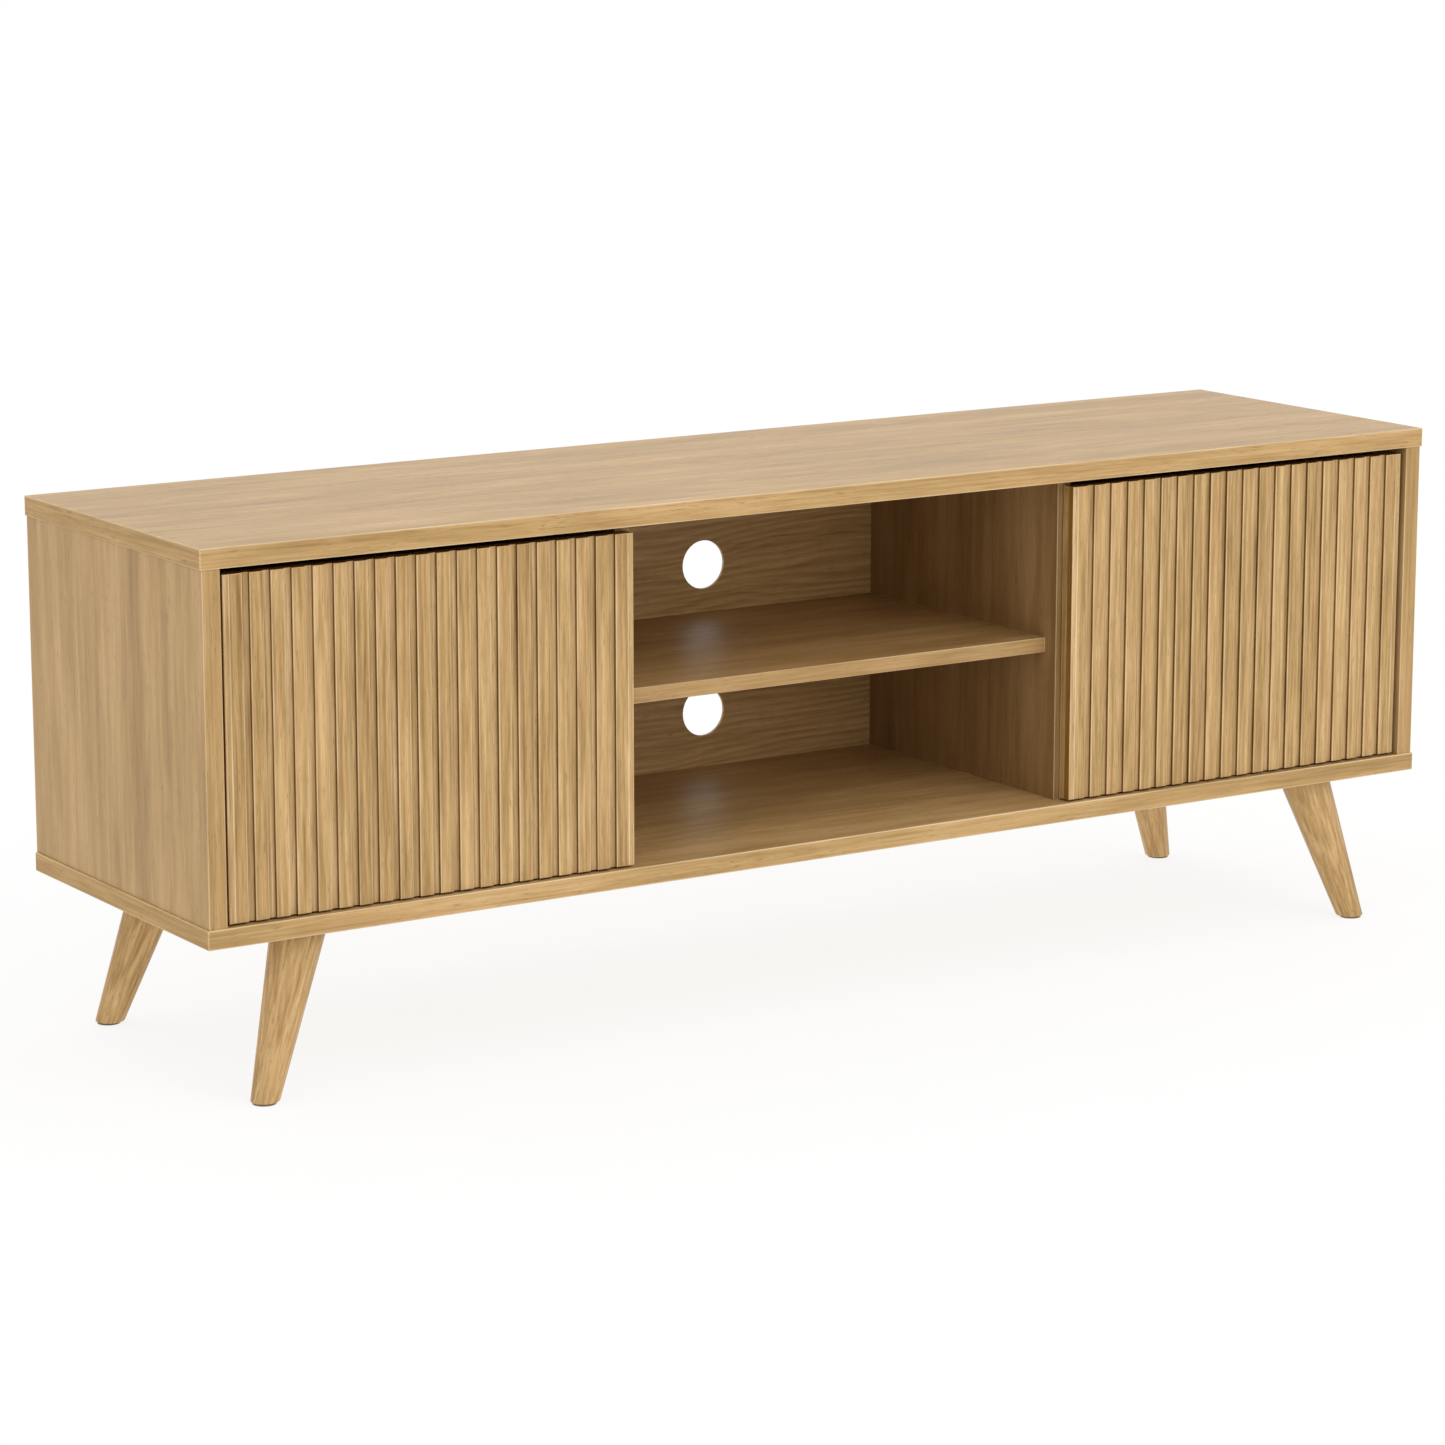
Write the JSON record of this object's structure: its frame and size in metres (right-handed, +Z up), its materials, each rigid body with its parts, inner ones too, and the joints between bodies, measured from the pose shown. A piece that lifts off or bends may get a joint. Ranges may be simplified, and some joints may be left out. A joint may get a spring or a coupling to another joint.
{
  "type": "media cabinet",
  "caption": "Low media cabinet with an open shelved bay between hinged slatted doors, on splayed tapered legs.",
  "frame": {"origin": "on the floor, under the middle of the cabinet", "axes": "+Z up, +X along the length to the viewer's right, -Y towards the front with the doors"},
  "size_m": [1.4, 0.365, 0.514],
  "materials": {
    "oak_leg": "turned oak, clear matt lacquer",
    "plate_steel": "black powder coat",
    "oak_board": "light oak woodgrain, satin, grain along the length",
    "screw_steel": "zinc plated steel",
    "cam_zinc": "cast zinc",
    "oak_back": "light oak woodgrain foil on thin board",
    "oak_shelf": "light oak woodgrain, satin",
    "glide_felt": "dark pressed felt",
    "oak_upright": "light oak woodgrain, satin, upright grain",
    "oak_slats": "light oak woodgrain, satin, upright grain, milled grooves",
    "latch_plastic": "grey moulded plastic",
    "plunger_plastic": "dark soft plastic",
    "hinge_nickel": "nickel plated steel",
    "dowel_wood": "fluted beech, raw"
  },
  "bodies": {
    "root": {"back_left_leg": "oak_leg", "back_left_leg_plate": "plate_steel", "back_right_leg": "oak_leg", "back_right_leg_plate": "plate_steel", "bottom_panel": "oak_board", "cam_bolts": "screw_steel", "cam_locks": "cam_zinc", "centre_back_panel": "oak_back", "centre_shelf": "oak_shelf", "foot_glides": "glide_felt", "front_left_leg": "oak_leg", "front_left_leg_plate": "plate_steel", "front_right_leg": "oak_leg", "front_right_leg_plate": "plate_steel", "hinge_arm_screws": "screw_steel", "hinge_plate_screws": "screw_steel", "latch_screws": "screw_steel", "left_back_panel": "oak_back", "left_divider": "oak_upright", "left_latch_housing": "latch_plastic", "left_latch_spring": "screw_steel", "left_lower_hinge_arm": "hinge_nickel", "left_lower_hinge_plate": "hinge_nickel", "left_side_panel": "oak_upright", "left_upper_hinge_arm": "hinge_nickel", "left_upper_hinge_plate": "hinge_nickel", "leg_bolts": "screw_steel", "leg_plate_screws": "screw_steel", "right_back_panel": "oak_back", "right_divider": "oak_upright", "right_latch_housing": "latch_plastic", "right_latch_spring": "screw_steel", "right_lower_hinge_arm": "hinge_nickel", "right_lower_hinge_plate": "hinge_nickel", "right_side_panel": "oak_upright", "right_upper_hinge_arm": "hinge_nickel", "right_upper_hinge_plate": "hinge_nickel", "shelf_screws": "screw_steel", "top_panel": "oak_board", "wood_dowels": "dowel_wood"},
    "left_door": {"left_door": "oak_slats", "left_hinge_cup_screws": "screw_steel", "left_strike_plate": "screw_steel", "left_strike_screws": "screw_steel", "left_upper_hinge_cup": "hinge_nickel", "left_upper_hinge_pin": "screw_steel", "left_lower_hinge_cup": "hinge_nickel", "left_lower_hinge_pin": "screw_steel"},
    "right_door": {"right_door": "oak_slats", "right_hinge_cup_screws": "screw_steel", "right_strike_plate": "screw_steel", "right_strike_screws": "screw_steel", "right_upper_hinge_cup": "hinge_nickel", "right_upper_hinge_pin": "screw_steel", "right_lower_hinge_cup": "hinge_nickel", "right_lower_hinge_pin": "screw_steel"},
    "left_latch_plunger": {"left_latch_plunger": "plunger_plastic"},
    "right_latch_plunger": {"right_latch_plunger": "plunger_plastic"}
  },
  "joints": [
    {"name": "left_door_hinge", "type": "hinge", "parent": "root", "child": "left_door", "pos_m": [-0.664, -0.168, 0.331], "axis": [0, 0, -1], "range_deg": [0, 95]},
    {"name": "right_door_hinge", "type": "hinge", "parent": "root", "child": "right_door", "pos_m": [0.664, -0.168, 0.331], "axis": [0, 0, 1], "range_deg": [0, 95]},
    {"name": "left_latch_slide", "type": "slide", "parent": "root", "child": "left_latch_plunger", "axis": [0, -1, 0], "range_m": [0, 0.01]},
    {"name": "right_latch_slide", "type": "slide", "parent": "root", "child": "right_latch_plunger", "axis": [0, -1, 0], "range_m": [0, 0.01]}
  ],
  "couplings": [
    {"joint": "left_latch_slide", "follows": "left_door_hinge", "m_per_rad": 0.00603},
    {"joint": "right_latch_slide", "follows": "right_door_hinge", "m_per_rad": 0.00603}
  ]
}
